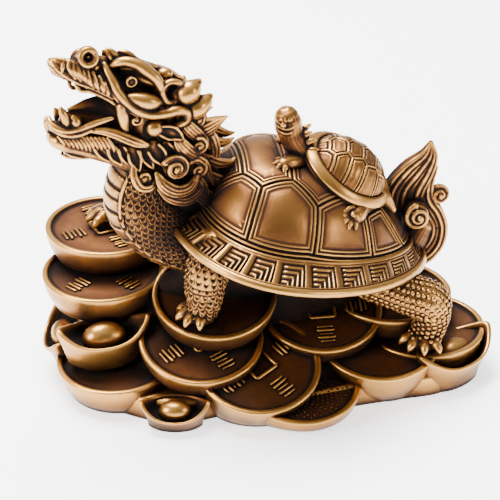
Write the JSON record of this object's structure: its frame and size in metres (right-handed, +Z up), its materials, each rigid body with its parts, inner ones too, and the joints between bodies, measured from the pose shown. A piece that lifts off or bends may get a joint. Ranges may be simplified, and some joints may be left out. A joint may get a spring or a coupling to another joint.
{
  "type": "dragon turtle figure",
  "caption": "Cast desk figure of a dragon-headed turtle standing on a heap of coins and ingots, with a small turtle on its shell.",
  "frame": {"origin": "middle of the flat underside, on the surface it stands on", "axes": "+X from the dragon's head towards its tail, +Z up; the figure's left flank faces -Y"},
  "size_m": [0.1312, 0.0821, 0.1091],
  "materials": {
    "antique_copper": "cast resin in a copper-bronze metallic paint, dark in the recesses and rubbed bright on the edges"
  },
  "bodies": {
    "root": {"dragon_turtle_figure": "antique_copper"}
  },
  "joints": []
}
